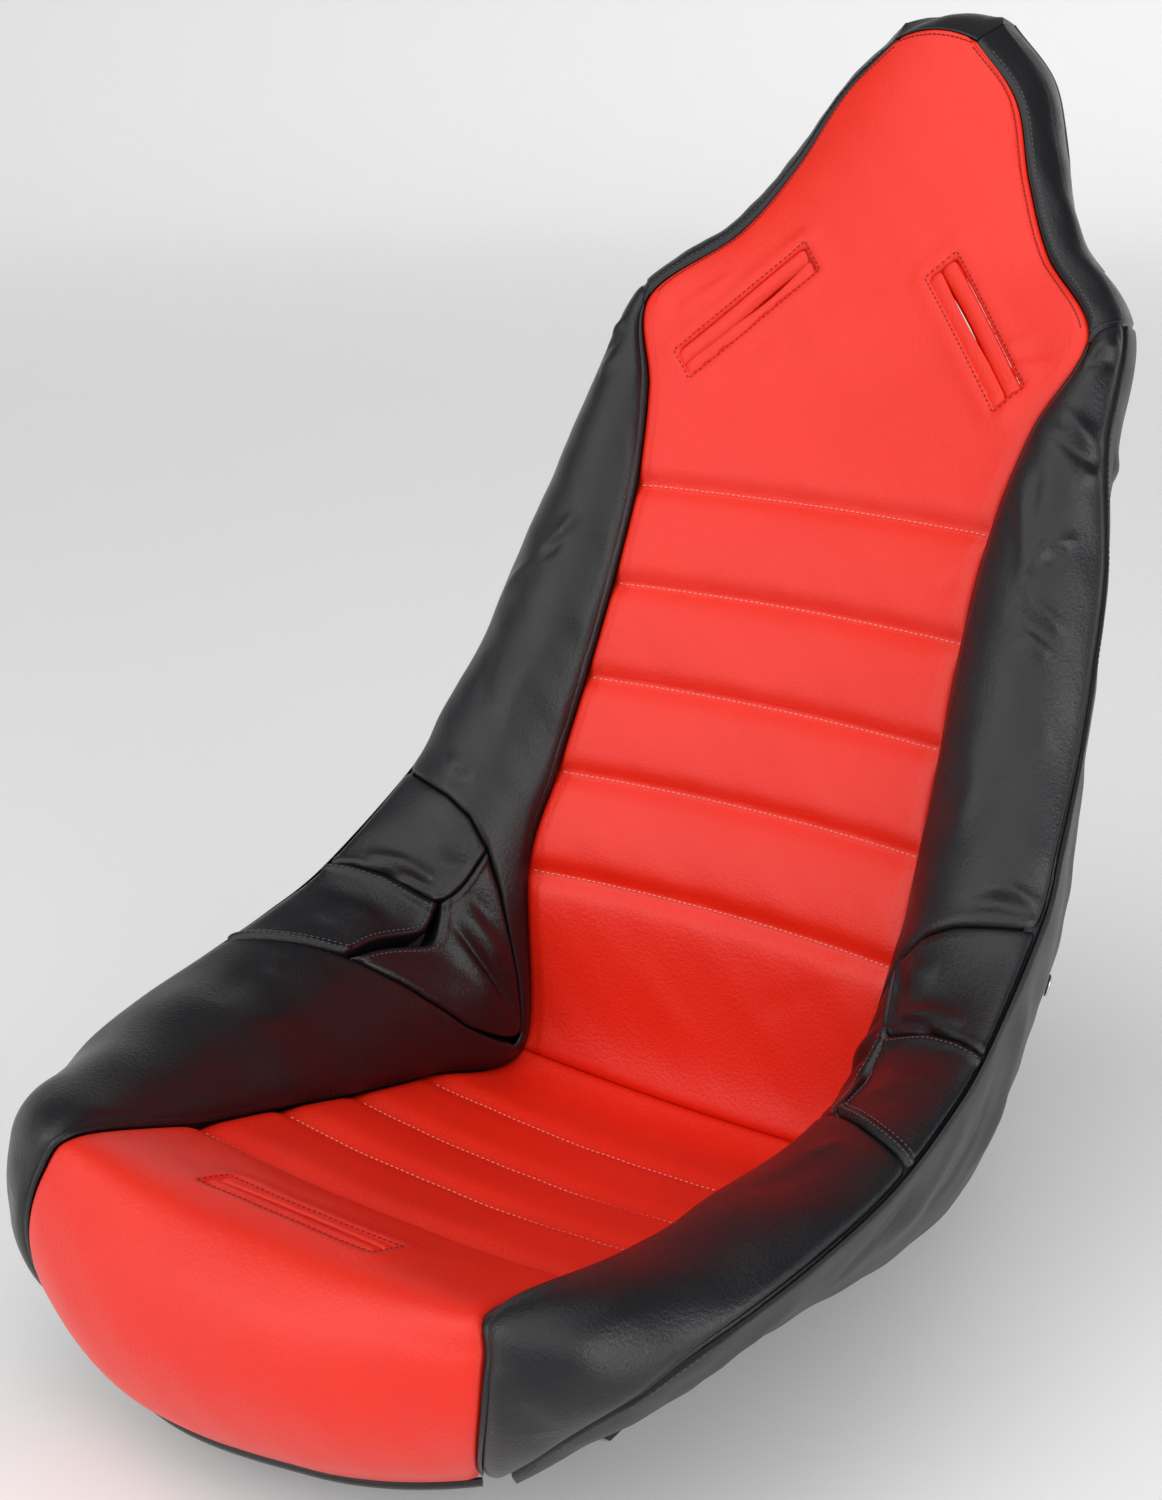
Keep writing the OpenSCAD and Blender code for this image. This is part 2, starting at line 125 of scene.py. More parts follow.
def skinAt(station, across):
    # point of the cover in metres; across is negative to the left, seen from the front
    station, across = np.broadcast_arrays(np.asarray(station, float), np.asarray(across, float))
    s, a = station, np.abs(across)
    k = np.clip(a, 0, 1)[..., None]
    mid, inn = along("middle", s), along("inner", s)
    panel = mid + (inn - mid) * k * k
    panel[..., 0] = (inn * k)[..., 0]
    out = np.where(a[..., None] <= 1, panel,
                   np.where(a[..., None] <= 2, sideOf("inner", "rim", "puff", s, np.clip(a - 1, 0, 1)),
                            sideOf("rim", "hem", "flare", s, np.clip(a - 2, 0, 1))))
    over = np.clip(s - skin["crownTop"], 0, 1)[..., None]
    top = skin["lid"]
    lid = np.stack([a * top["halfWidth"], top["y"] + 0 * a, top["z"] - top["fall"] * a * a / 9], -1)
    dome = np.sin(np.pi * over) * (1 - (a[..., None] / 3) ** 2) * np.array([0, 0, top["dome"]])
    out = out * (1 - over) + lid * over + dome
    out[..., 0] = np.where(across < 0, -out[..., 0], out[..., 0])
    corner = np.clip((sag["stations"][1] - s) / (sag["stations"][1] - sag["stations"][0]), 0, 1)
    side = np.clip((sag["across"][0] - across) / (sag["across"][0] - sag["across"][1]), 0, 1)
    corner, side = corner * corner * (3 - 2 * corner), side * side * (3 - 2 * side)
    return (out + (corner * side)[..., None] * np.array(sag["shift"], float)) / 1000


def facingAt(station, across):
    # outward direction of the cover there
    s, t = np.broadcast_arrays(np.asarray(station, float), np.asarray(across, float))
    top = float(skin["crownTop"])
    e = 0.05
    dt = skinAt(s, t + e) - skinAt(s, t - e)
    ds = skinAt(np.minimum(s + e, top), t) - skinAt(np.maximum(s - e, 0), t)
    n = unit(np.cross(dt, ds))
    lid = unit(np.stack([t / 12, 0.1 + 0 * t, 1 + 0 * t], -1))
    return np.where(s[..., None] > top, lid, n)


# materials
def linear(hexColour):
    parts = [int(hexColour[i:i + 2], 16) / 255 for i in (1, 3, 5)]
    return tuple(c / 12.92 if c <= 0.04045 else ((c + 0.055) / 1.055) ** 2.4 for c in parts) + (1,)


def addNode(tree, kind, inputs=None, **settings):
    node = tree.nodes.new(kind)
    for key, value in settings.items():
        setattr(node, key, value)
    for key, value in (inputs or {}).items():
        if isinstance(value, bpy.types.NodeSocket):
            tree.links.new(value, node.inputs[key])
        else:
            node.inputs[key].default_value = value
    return node


def startMaterial(name, **shader):
    material = bpy.data.materials.new(name)
    material.use_nodes = True
    tree = material.node_tree
    tree.nodes.clear()
    surface = addNode(tree, "ShaderNodeBsdfPrincipled", {key.replace("_", " "): value for key,
                                                         value in shader.items()})
    addNode(tree, "ShaderNodeOutputMaterial", {"Surface": surface.outputs[0]})
    return material, tree, surface


grain = {"pebble": 0.0021, "fine": 0.0007, "cloud": 0.06, "bump": 0.4,
         "relief": 0.0007}  # metres, bump has no unit


def leatherGrainVinyl(name, deep, pale, gloss, ior=1.48):
    # plasticised PVC on knitted cloth, embossed with a leather pebble: satin, soft broad highlights
    material, tree, surface = startMaterial(name, Roughness=gloss, IOR=ior)
    place = addNode(tree, "ShaderNodeTexCoord").outputs["Object"]
    pebbles = addNode(tree, "ShaderNodeTexVoronoi", {"Vector": place, "Scale": 1 / grain["pebble"]},
                      feature="SMOOTH_F1")
    fine = addNode(tree, "ShaderNodeTexNoise", {"Vector": place, "Scale": 1 / grain["fine"], "Detail": 2})
    broad = addNode(tree, "ShaderNodeTexNoise", {"Vector": place, "Scale": 1 / grain["cloud"], "Detail": 3})
    tone = addNode(tree, "ShaderNodeMix", {"Factor": broad.outputs["Fac"]}, data_type="RGBA")
    tone.inputs["A"].default_value = linear(deep)
    tone.inputs["B"].default_value = linear(pale)
    tree.links.new(tone.outputs["Result"], surface.inputs["Base Color"])
    height = addNode(tree, "ShaderNodeMath", {0: pebbles.outputs["Distance"], 1: 0.7}, operation="MULTIPLY")
    both = addNode(tree, "ShaderNodeMath", {0: height.outputs[0], 1: fine.outputs["Fac"]}, operation="ADD")
    relief = addNode(tree, "ShaderNodeBump",
                     {"Height": both.outputs[0], "Strength": grain["bump"], "Distance": grain["relief"]})
    tree.links.new(relief.outputs[0], surface.inputs["Normal"])
    return material


redVinyl = leatherGrainVinyl("redLeatherGrainVinyl", "#E4200A", "#EE280E", 0.38)
blackVinyl = leatherGrainVinyl("blackLeatherGrainVinyl", "#0D0E12", "#121317", 0.31)
# the thin, unpadded skirt, in a darker and less reflective copy of the black vinyl: painted shade
paintedShadeSkirtVinyl = leatherGrainVinyl("blackVinylSkirtPaintedShade", "#090A0D", "#0D0E11", 0.36, ior=1.34)


def plainMaterial(name, colour, **shader):
    material, tree, surface = startMaterial(name, **shader)
    surface.inputs["Base Color"].default_value = linear(colour)
    return material


def mouldedPlastic(name, deep, pale, gloss, peel):
    # moulded against a textured tool: waxy, fine orange peel, faint flow variation
    material, tree, surface = startMaterial(name, Roughness=gloss, IOR=1.51)
    place = addNode(tree, "ShaderNodeTexCoord").outputs["Object"]
    flow = addNode(tree, "ShaderNodeTexNoise", {"Vector": place, "Scale": 1 / 0.08, "Detail": 3})
    tone = addNode(tree, "ShaderNodeMix", {"Factor": flow.outputs["Fac"]}, data_type="RGBA")
    tone.inputs["A"].default_value = linear(deep)
    tone.inputs["B"].default_value = linear(pale)
    tree.links.new(tone.outputs["Result"], surface.inputs["Base Color"])
    skinNoise = addNode(tree, "ShaderNodeTexNoise", {"Vector": place, "Scale": 1 / peel, "Detail": 2})
    relief = addNode(tree, "ShaderNodeBump", {"Height": skinNoise.outputs["Fac"], "Strength": 0.25,
                                              "Distance": 0.0005})
    tree.links.new(relief.outputs[0], surface.inputs["Normal"])
    return material


shellPlastic = mouldedPlastic("rotomouldedPolyethylene", "#19191A", "#202022", 0.52, 0.0024)
railPlastic = mouldedPlastic("injectionMouldedNylon", "#151516", "#1B1B1C", 0.45, 0.0011)
# thread that lies proud in the channels; its red is lightened to pale pink as a painted highlight
paintedHighlightRedThread = plainMaterial("redThreadPaintedHighlight", "#F4907E", Roughness=0.5, IOR=1.53)
# tight topstitch, pulled down into its holes; its red is darkened as painted shade of the stitch holes
paintedHoleShadeRedThread = plainMaterial("redThreadPaintedHoleShade", "#7E0E05", Roughness=0.6, IOR=1.53)
# black thread coloured mid grey as a painted highlight
paintedHighlightGreyThread = plainMaterial("blackThreadPaintedGreyHighlight", "#4A4A4F", Roughness=0.4, IOR=1.53)
nickel = plainMaterial("nickelPlatedBrass", "#D8D4CC", Roughness=0.22, Metallic=1.0)
zincSteel = plainMaterial("zincPlatedSteel", "#B4B6BA", Roughness=0.35, Metallic=1.0)
brass = plainMaterial("turnedBrass", "#C9A25C", Roughness=0.3, Metallic=1.0)
print("materials ready")


# how panels are cut and filled
def finishPiece(name, bm, material, nodes, turn=True):
    if turn:
        bmesh.ops.recalc_face_normals(bm, faces=bm.faces)
    mesh = bpy.data.meshes.new(name)
    for face in bm.faces:
        face.smooth = True
    bm.to_mesh(mesh)
    bm.free()
    mesh.materials.append(material)
    piece = bpy.data.objects.new(name, mesh)
    bpy.context.scene.collection.objects.link(piece)
    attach(piece, "root")
    if nodes:
        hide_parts(*nodes)
    print(name, len(mesh.polygons))
    return piece


def ramp(x, x0, x1, y0, y1):
    return y0 + (y1 - y0) * np.clip((x - x0) / (x1 - x0), 0, 1)


# thickness in millimetres at the middle, bolster crest, crest beside the head, rim, and of the cover
foam = {"middle": 22, "crest": 31, "crestHigh": 12, "rim": 3, "cover": 1.9}


def foamDepth(s, t):
    a = np.abs(t)
    crest = ramp(s, 14.5, 16.5, foam["crest"], foam["crestHigh"])
    inward = foam["middle"] + (crest - foam["middle"]) * np.clip((a - 1) / 0.5, 0, 1)
    outward = crest + (foam["rim"] - crest) * np.clip((a - 1.5) / 0.5, 0, 1)
    f = np.where(a <= 1, foam["middle"], np.where(a <= 1.5, inward, outward))
    f = np.where(s < 3, np.maximum(f * ramp(s, 0, 3, 0.4, 1), foam["rim"]), f)
    f = np.where(s > skin["crownTop"], foam["rim"], f)
    return (f + foam["cover"]) / 1000


def rolled(distance, reach, drop):
    # how a panel turns down into a seam: a quarter round of that reach and drop, in metres
    x = np.clip(distance / reach, 0, 1)
    return -drop * (1 - np.sqrt(np.maximum(1 - (1 - x) ** 2, 0)))


def lineDistance(place, points):
    # distance to a polyline, and how far along it, from 0 to 1
    best, where = np.full(len(place), 9.0), np.zeros(len(place))
    steps = np.linalg.norm(np.diff(points, axis=0), axis=1)
    start = np.concatenate([[0], np.cumsum(steps)])
    for i in range(len(points) - 1):
        run = points[i + 1] - points[i]
        u = np.clip((place - points[i]) @ run / max(run @ run, 1e-12), 0, 1)
        d = np.linalg.norm(place - points[i] - u[:, None] * run, axis=1)
        near = d < best
        best, where = np.where(near, d, best), np.where(near, (start[i] + u * steps[i]) / start[-1], where)
    return best, where


def folds(place, creases):
    # each crease: width mm, lift mm (negative for a valley), then its points as station, across
    h = np.zeros(len(place))
    for width, lift, *points in creases:
        p = np.array(points, float)
        fine = np.linspace(0, len(p) - 1, 4 * len(p))
        q = np.stack([np.interp(fine, range(len(p)), p[:, k]) for k in (0, 1)], 1)
        d, u = lineDistance(place, skinAt(q[:, 0], q[:, 1]))
        h += lift / 1000 * np.exp(-(d * 1000 / width) ** 2) * np.sin(np.pi * np.clip(u, 0.02, 0.98)) ** 0.7
    return h


def unevenness(place, size, lift, turn=0.0):
    # slow hand-made waviness of the filling, size and lift in millimetres
    x, y, z = (place * 1000 / size * 2 * np.pi).T
    wave = (np.sin(x * 0.9 + 1.3 * z + turn) + np.sin(1.1 * y - 0.7 * x + 2.1 * turn + 1)
            + np.sin(0.8 * z + 1.2 * y - 0.5 * turn + 2.2) + 0.6 * np.sin(2.1 * x + 1.7 * y + 1.9 * z + turn))
    return lift / 1000 * wave / 3.6


# harness windows: centre, turn and half sizes in the plane they are cut along, in millimetres
windows = {
    "shoulder": {"middle": (85, 558), "turn": -45, "half": (50, 9.6), "plane": (0, 2), "axis": 1},
    "crotch": {"middle": (0, -242), "turn": 0, "half": (58, 9.6), "plane": (0, 1), "axis": 2},
}


def inWindow(window, sign, place):
    a = math.radians(window["turn"] * sign)
    dx = place[:, window["plane"][0]] * 1000 - window["middle"][0] * sign
    dy = place[:, window["plane"][1]] * 1000 - window["middle"][1]
    return np.stack([dx * math.cos(a) + dy * math.sin(a), -dx * math.sin(a) + dy * math.cos(a)], 1)


def windowPoint(window, sign, p, q):
    a = math.radians(window["turn"] * sign)
    x = window["middle"][0] * sign + p * math.cos(a) - q * math.sin(a)
    y = window["middle"][1] + p * math.sin(a) + q * math.cos(a)
    return x / 1000, y / 1000


# cover beside a window, in millimetres: how it turns down, the low swell around it,
# and how near the window a cut edge must be to be pulled onto it
windowEdge = {"reach": 3.5, "drop": 2.2, "swell": 1.2, "swellAt": 7, "swellWidth": 6,
              "snap": 4}


def windowRay(window, x, y):
    # start and direction of a line through the window's plane at x, y
    if window["axis"] == 1:
        return Vector((x, -1, y)), Vector((0, 1, 0))
    return Vector((x, y, 1)), Vector((0, 0, -1))


def padGrid(cut, longSteps, wideSteps, height, depth, cuts=(), hole=None):
    # a sheet on the skin, pushed out by height and closed behind at depth below the skin
    bm = bmesh.new()
    bmesh.ops.create_grid(bm, x_segments=wideSteps, y_segments=longSteps, size=0.5)
    bm.verts.ensure_lookup_table()
    uv = np.array([(v.co.x + 0.5, v.co.y + 0.5) for v in bm.verts])
    s, t = cut(uv[:, 1], uv[:, 0])
    place, face = skinAt(s, t), facingAt(s, t)
    iu, iv = np.rint(uv[:, 1] * longSteps).astype(int), np.rint(uv[:, 0] * wideSteps).astype(int)
    table = np.zeros((longSteps + 1, wideSteps + 1, 3))
    table[iu, iv] = place
    longStep = np.linalg.norm(np.diff(table, axis=0), axis=2)
    wideStep = np.linalg.norm(np.diff(table, axis=1), axis=2)
    longWay = np.concatenate([np.zeros((1, wideSteps + 1)), np.cumsum(longStep, 0)])
    wideWay = np.concatenate([np.zeros((longSteps + 1, 1)), np.cumsum(wideStep, 1)], 1)
    near = {"low": longWay[iu, iv], "high": (longWay[-1:] - longWay)[iu, iv],
            "west": wideWay[iu, iv], "east": (wideWay[:, -1:] - wideWay)[iu, iv]}
    h = height(s, t, near, place)
    gone = np.zeros(len(place), bool)
    for window, sign in cuts:
        pq = np.abs(inWindow(window, sign, place)) - window["half"]
        away = np.where(pq.max(1) > 0, np.linalg.norm(np.maximum(pq, 0), axis=1), pq.max(1))
        h = h + rolled(np.maximum(away, 0) / 1000, windowEdge["reach"] / 1000, windowEdge["drop"] / 1000)
        fromSwell = (away - windowEdge["swellAt"]) / windowEdge["swellWidth"]
        h = h + windowEdge["swell"] / 1000 * np.exp(-fromSwell ** 2)
        gone |= away < 0
    if hole is not None:
        gone |= hole(s, t)
    upper = place + face * h[:, None]
    lower = place - face * depth(s, t)[:, None]
    stamp = bm.verts.layers.int.new("row")
    for i, v in enumerate(bm.verts):
        v.co = upper[i]
        v[stamp] = i
    if gone.any():
        dead = [f for f in bm.faces if sum(gone[v[stamp]] for v in f.verts) >= 3]
        bmesh.ops.delete(bm, geom=dead, context="FACES")
        for v in bm.verts:
            if v.is_boundary:
                i = v[stamp]
                for window, sign in cuts:
                    pq = inWindow(window, sign, place[i:i + 1])[0]
                    over = np.abs(pq) - window["half"]
                    if over.max() < windowEdge["snap"]:
                        k = int(over[1] > over[0] - 0.5)
                        target = pq.copy()
                        target[k] = math.copysign(window["half"][k], pq[k])
                        x, y = windowPoint(window, sign, *target)
                        m0, m1 = window["plane"]
                        shift = np.zeros(3)
                        shift[m0], shift[m1] = x - place[i][m0], y - place[i][m1]
                        shift[window["axis"]] = -(face[i] @ shift) / face[i][window["axis"]]
                        v.co = Vector(upper[i] + shift)
                        lower[i] = lower[i] + shift
    made = bmesh.ops.extrude_face_region(bm, geom=list(bm.faces))
    for v in made["geom"]:
        if isinstance(v, bmesh.types.BMVert):
            v.co = lower[v[stamp]]
    return bm


def betweenEdges(low, high, sign, inset=0.004):
    low, high = sorted((p[1], p[0]) for p in low), sorted((p[1], p[0]) for p in high)

    def cut(u, v):
        t = 1 + inset + v * (1 - 2 * inset)
        a, b = np.interp(t, *zip(*low)), np.interp(t, *zip(*high))
        return a + (b - a) * u, t * sign
    return cut


def polyAt(points, u):
    p = np.array(points, float)
    run = np.concatenate([[0], np.cumsum(np.linalg.norm(np.diff(p * [1, 2], axis=0), axis=1))])
    return np.stack([np.interp(u * run[-1], run, p[:, k]) for k in (0, 1)], -1)


def insideSeams(low, high, west, east, sign):
    # low and high run from west to east, west and east from low to high
    def cut(u, v):
        c0, c1, d0, d1 = polyAt(low, v), polyAt(high, v), polyAt(west, u), polyAt(east, u)
        u, v = u[:, None], v[:, None]
        p = c0 * (1 - u) + c1 * u + d0 * (1 - v) + d1 * v - (
            np.array(low[0]) * (1 - u) * (1 - v) + np.array(low[-1]) * (1 - u) * v
            + np.array(high[0]) * u * (1 - v) + np.array(high[-1]) * u * v)
        return p[:, 0], p[:, 1] * sign
    return cut


foldDepth = 1.35  # how deep the black panels crease


def mirrored(creases, sign):
    return [(w, l * foldDepth, *[(p[0], p[1] * sign) for p in points]) for w, l, *points in creases]


def seamed(edges, creases=(), wave=(70, 0.8, 0), ridge=()):
    # edges: name to reach and drop in millimetres
    # ridge: name to distance, width and lift of a folded seam allowance
    def height(s, t, near, place):
        h = unevenness(place, *wave) * np.clip(np.minimum.reduce([near[k] for k in edges]) / 0.02, 0, 1)
        for k, (reach, drop) in dict(edges).items():
            h = h + rolled(near[k], reach / 1000, drop / 1000)
        for k, (off, width, lift) in dict(ridge).items():
            h = h + lift / 1000 * np.exp(-((near[k] * 1000 - off) / width) ** 2)
        return h + folds(place, creases)
    return height


# red middle panels
backPanel = {
    "channels": [10, 11, 12, 13, 14], "dip": 4.6, "reach": 8, "swell": 1.6,
    "grooves": {"west": (4.6, 1.8, -0.7), "east": (4.6, 1.8, -0.7)},
    "creases": [(7, 1.3, (15.4, 0.76), (15.2, 0.84), (14.9, 0.9)), (4, 1.0, (15.78, 0.68), (15.9, 0.8)),
                (4, 0.9, (15.52, 0.72), (15.6, 0.82), (15.65, 0.93)),
                (5, -0.9, (15.64, 0.7), (15.72, 0.88)),
                (5, 1.2, (16.35, -0.67), (16.1, -0.72), (15.85, -0.8)),
                (4, 0.9, (15.97, -0.97), (15.8, -0.86)),
                (5, -0.9, (16.1, -0.86), (15.7, -0.84)), (9, 1.0, (15.35, -0.46), (15.5, -0.3)),
                (10, -0.8, (15.25, -0.3), (15.35, 0.1), (15.3, 0.4)), (8, 0.8, (16.6, 0.3), (16.75, 0.1)),
                (8, 0.8, (16.75, -0.4), (16.95, -0.55)), (10, -0.7, (14.7, 0.2), (14.5, 0.55)),
                (9, 0.9, (9.7, -0.4), (9.45, -0.15), (9.35, 0.1)), (9, -0.9, (9.55, 0.3), (9.75, 0.62)),
                (8, 0.8, (9.8, 0.6), (10.0, 0.82)), (6, -0.8, (13.6, 0.96), (13.4, 0.8))],
}
seatPanel = {
    "channels": [5, 6, 7, 8], "dip": 4.2, "reach": 10, "swell": 1.2, "grooves": {},
    "creases": [(14, 1.0, (4.9, -0.9), (4.6, -0.4), (4.7, 0.2)),
                (12, -0.8, (3.2, -0.6), (3.4, 0.0), (3.2, 0.5)),
                (8, 0.8, (4.35, 0.52), (4.6, 0.75)), (7, -0.7, (4.3, -0.52), (4.5, -0.75))],
}


def channelled(facts, edges):
    sewn = seamed(edges, facts["creases"], (95, 0.7, 0.4), facts["grooves"])

    def height(s, t, near, place):
        h = sewn(s, t, near, place)
        pace = np.linalg.norm(along("middle", s + 0.1) - along("middle", s - 0.1), axis=-1) / 0.2
        gapTo = np.min([np.abs(s - c) * pace for c in facts["channels"]], 0)
        inside = ramp(s, facts["channels"][0] - 0.9, facts["channels"][0] - 0.1, 0, 1) * ramp(
            s, facts["channels"][-1] + 0.1, facts["channels"][-1] + 0.9, 1, 0)
        inside = inside * inside * (3 - 2 * inside)
        valley = np.exp(-(gapTo / facts["reach"]) ** 2) + 0.35 * np.exp(-gapTo / 1.6)
        return h + (facts["swell"] * inside * (1 - np.exp(-(gapTo / 18) ** 2)) - facts["dip"] * valley) / 1000
    return height


shoulderCuts = [(windows["shoulder"], 1), (windows["shoulder"], -1)]
redEdge = {"west": (9, 3.0), "east": (9, 3.0)}
bm = padGrid(lambda u, v: (9 + u * 11, (v * 2 - 1) * 0.998), 300, 124,
             channelled(backPanel, {**redEdge, "low": (16, 4.5), "high": (6, 2.0)}), foamDepth,
             shoulderCuts)
back = finishPiece("backPanel", bm, redVinyl, ["back_panel", "back_foam"])
bm = padGrid(lambda u, v: (0.2 + u * 8.79, (v * 2 - 1) * 0.998), 220, 124,
             channelled(seatPanel, {**redEdge, "low": (4, 1.5), "high": (16, 4.5)}), foamDepth,
             [(windows["crotch"], 1)])
seat = finishPiece("seatPanel", bm, redVinyl, ["seat_panel", "base_foam"])

# black side panels
seams = {
    "thighTop": [(7.3, 2.0), (7.5, 1.82), (7.82, 1.6), (8.0, 1.46), (8.2, 1.3), (8.45, 1.17), (8.85, 1.07),
                 (8.98, 1.0)],
    "sideLow": [(8.98, 1.0), (9.02, 1.06), (9.4, 1.12), (9.75, 1.19), (9.9, 1.27), (10.0, 1.42),
                (10.0, 1.62), (9.9, 2.0)],
    "rimPuff": (10, 3.2), "innerRoll": (14, 6.0),
}
sideFolds = {
    "right": [(5, 1.6, (14.4, 1.25), (13.9, 1.42), (13.6, 1.43)),
              (4, 1.5, (14.15, 1.8), (14.0, 1.56), (13.65, 1.45)),
              (5, -1.3, (14.0, 1.74), (13.8, 1.58)), (5, 1.6, (13.6, 1.46), (13.4, 1.6), (13.2, 1.8)),
              (5, -2.0, (13.35, 1.4), (13.2, 1.58), (13.12, 1.72)), (5, 1.3, (13.15, 1.52), (12.95, 1.74)),
              (6, 1.8, (15.75, 1.15), (15.8, 1.5), (15.8, 1.85)),
              (5, -1.6, (15.62, 1.2), (15.66, 1.5), (15.62, 1.85)),
              (7, 2.2, (15.2, 1.1), (15.1, 1.5), (14.95, 1.95)),
              (6, -2.2, (15.05, 1.1), (14.95, 1.5), (14.78, 1.95)),
              (5, 1.4, (14.7, 1.75), (14.72, 1.97)), (6, -1.2, (14.65, 1.35), (14.2, 1.38)),
              (5, 1.6, (10.5, 1.7), (10.35, 1.85), (10.12, 1.97)),
              (5, -1.8, (10.25, 1.6), (10.2, 1.8), (10.08, 1.95)),
              (9, 1.2, (12.3, 1.3), (11.6, 1.45), (11.0, 1.4)), (8, -1.0, (11.8, 1.7), (11.3, 1.55)),
              (8, 1.0, (12.6, 1.75), (12.0, 1.82))],
    "left": [(5, 1.5, (13.2, 1.56), (13.4, 1.42), (13.6, 1.32)), (5, -1.4, (13.05, 1.55), (13.3, 1.4)),
             (6, 1.4, (12.6, 1.9), (12.85, 1.75), (13.0, 1.62)), (5, 1.6, (15.45, 1.8), (15.6, 1.4)),
             (5, -1.4, (15.3, 1.8), (15.42, 1.42)), (6, 1.5, (15.1, 1.75), (15.2, 1.35)),
             (9, 1.1, (12.4, 1.25), (11.6, 1.4), (10.8, 1.35)), (8, -1.0, (11.9, 1.75), (11.2, 1.6)),
             (6, 1.2, (10.5, 1.5), (10.3, 1.75)), (6, -1.3, (10.35, 1.45), (10.2, 1.65))],
}
thighFolds = [(12, 1.2, (7.6, 1.5), (6.6, 1.35), (5.6, 1.4)), (10, -1.0, (7.0, 1.75), (6.0, 1.6)),
              (12, 1.0, (4.2, 1.6), (3.2, 1.5)),
              (7, 1.0, (7.3, 1.75), (6.9, 1.65)), (9, -0.8, (2.6, 1.3), (2.0, 1.5))]
upperFolds = [(6, 2.6, (9.22, 1.92), (9.36, 1.78), (9.42, 1.62)),
              (4, -1.6, (9.15, 1.86), (9.3, 1.74), (9.36, 1.6)),
              (8, 1.2, (9.65, 1.7), (9.8, 1.42)), (6, -0.9, (9.55, 1.6), (9.7, 1.4))]
middleFolds = [(9, 1.0, (8.4, 1.9), (8.6, 1.7)), (8, -0.8, (8.0, 1.85), (8.1, 1.7))]
lowerFolds = [(3.4, -2.6, (9.26, 1.5), (9.2, 1.38), (9.14, 1.24), (9.1, 1.14)),
              (7, 2.2, (9.4, 1.46), (9.36, 1.34), (9.32, 1.22)),
              (6, 1.3, (9.14, 1.5), (9.06, 1.36), (9.02, 1.24)), (5, -1.0, (9.55, 1.42), (9.5, 1.28)),
              (9, 1.2, (8.6, 1.4), (8.9, 1.2))]


def lens(u, wide):
    return wide * np.sin(np.pi * np.clip(u, 0, 1)) ** 0.8


slotSteps = np.linspace(0, 1, 13)
slotLine = [(7.82 + 1.5 * u, 1.60 - 0.02 * u) for u in slotSteps]
slotOuter = [(p[0], p[1] + float(lens(u, 0.022))) for p, u in zip(slotLine, slotSteps)]
slotInner = [(p[0], p[1] - float(lens(u, 0.024))) for p, u in zip(slotLine, slotSteps)]
crossSeam = [(9.32, 1.58), (9.9, 1.27)]
rimUpper, rimMiddle = [(9.0, 1.996), (9.9, 1.996)], [(7.3, 1.996), (9.0, 1.996)]
gussetTop = [(9.32, 1.58), (9.28, 1.62), (9.2, 1.82), (9.1, 1.93), (9.0, 1.996)]
arc = [(9.9, 1.27), (10.0, 1.42), (10.0, 1.62), (9.9, 1.996)]
arcLow = [(9.02, 1.06), (9.4, 1.12), (9.75, 1.19), (9.9, 1.27)]
thighSeamIn = [(9.02, 1.06), (8.45, 1.17), (8.2, 1.3), (8.0, 1.46), (7.82, 1.6)]
thighSeamOut = [(7.82, 1.6), (7.5, 1.82), (7.3, 1.996)]
sides = {"west": seams["innerRoll"], "east": seams["rimPuff"]}
for sign, hand in hands:
    bm = padGrid(betweenEdges(seams["sideLow"], [(16, 1), (16, 2)], sign), 250, 56,
                 seamed({**sides, "low": (9, 4.0), "high": (7, 3.0)}, mirrored(sideFolds[hand], sign),
                        (80, 1.0, 1.0 + sign)), foamDepth)
    finishPiece("sideBolster_" + hand, bm, blackVinyl,
                ["side_bolster_" + hand, "side_foam_" + hand])
    bm = padGrid(betweenEdges([(0.3, 1), (0.3, 2)], seams["thighTop"], sign), 230, 56,
                 seamed({**sides, "high": (8, 3.5)}, mirrored(thighFolds, sign), (90, 1.0, 2.0 - sign)),
                 foamDepth)
    finishPiece("thighBolster_" + hand, bm, blackVinyl,
                ["thigh_bolster_" + hand, "thigh_foam_" + hand])
    # hip panels: low, high, west, east
    bm = padGrid(insideSeams(gussetTop, arc, crossSeam, rimUpper, sign), 60, 60,
                 seamed({"low": (7, 3.5), "high": (8, 3.5), "west": (2, 1.6), "east": seams["rimPuff"]},
                        mirrored(upperFolds, sign), (60, 0.9, sign),
                        {"west": (3.5, 2.4, 1.5), "low": (4, 3, 0.8)}), foamDepth)
    finishPiece("gussetUpper_" + hand, bm, blackVinyl,
                ["gusset_upper_" + hand, "hip_foam_" + hand])
    bm = padGrid(insideSeams(thighSeamOut, gussetTop, slotOuter, rimMiddle, sign), 84, 50,
                 seamed({"low": (6, 2.4), "high": (5, 2.0), "west": (4, 7.0), "east": seams["rimPuff"]},
                        mirrored(middleFolds, sign), (60, 0.8, sign + 2),
                        {"low": (5, 3, 1.9), "high": (4.5, 3, 1.9), "west": (6, 3.4, 1.2)}), foamDepth)
    finishPiece("gussetMiddle_" + hand, bm, blackVinyl, ["gusset_middle_" + hand])
    bm = padGrid(insideSeams(thighSeamIn, crossSeam[::-1], arcLow, slotInner, sign), 84, 60,
                 seamed({"low": (7, 3.0), "high": (2, 1.6), "west": (8, 4.0), "east": (4, 6.0)},
                        mirrored(lowerFolds, sign), (60, 0.9, sign + 3),
                        {"east": (6, 3, 1.0), "high": (3.5, 2.4, 1.5)}), foamDepth)
    finishPiece("gussetLower_" + hand, bm, blackVinyl, ["gusset_lower_" + hand])

